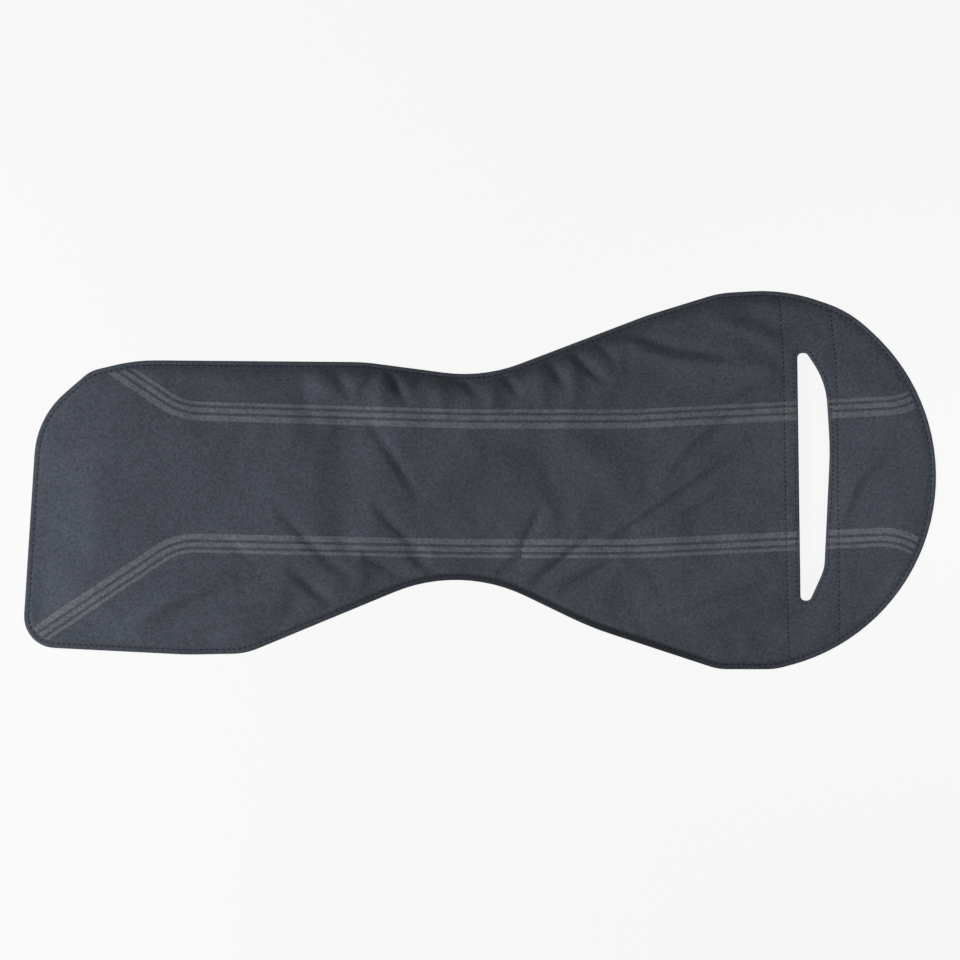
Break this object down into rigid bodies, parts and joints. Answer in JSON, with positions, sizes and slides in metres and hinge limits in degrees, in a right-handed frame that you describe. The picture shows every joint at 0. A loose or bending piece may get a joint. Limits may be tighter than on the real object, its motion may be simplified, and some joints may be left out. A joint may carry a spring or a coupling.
{
  "type": "bicycle chain cover",
  "caption": "Flat sewn cover for a bicycle's chainrings, chain and rear gears, with a slot for the crank arm, printed stripes and an open back with an elastic rim.",
  "frame": {"origin": "centre of the bounding box, on the surface that the cover lies on", "axes": "+X along the cover to the round end over the chainrings, +Y to the upper edge, +Z out of the printed face"},
  "size_m": [0.5799, 0.2406, 0.0082],
  "materials": {
    "panel_cloth": "fine dark slate twill of polyester",
    "facing_cloth": "plain dark woven polyester",
    "rim_cloth": "fine dark slate twill of polyester",
    "elastic": "braided black elastic",
    "print": "thin grey screen print that shows the weave"
  },
  "bodies": {
    "root": {"front_panel": "panel_cloth", "slot_facing": "facing_cloth", "back_rim": "rim_cloth", "rim_elastic": "elastic", "upper_stripes": "print", "lower_stripes": "print"}
  },
  "joints": []
}
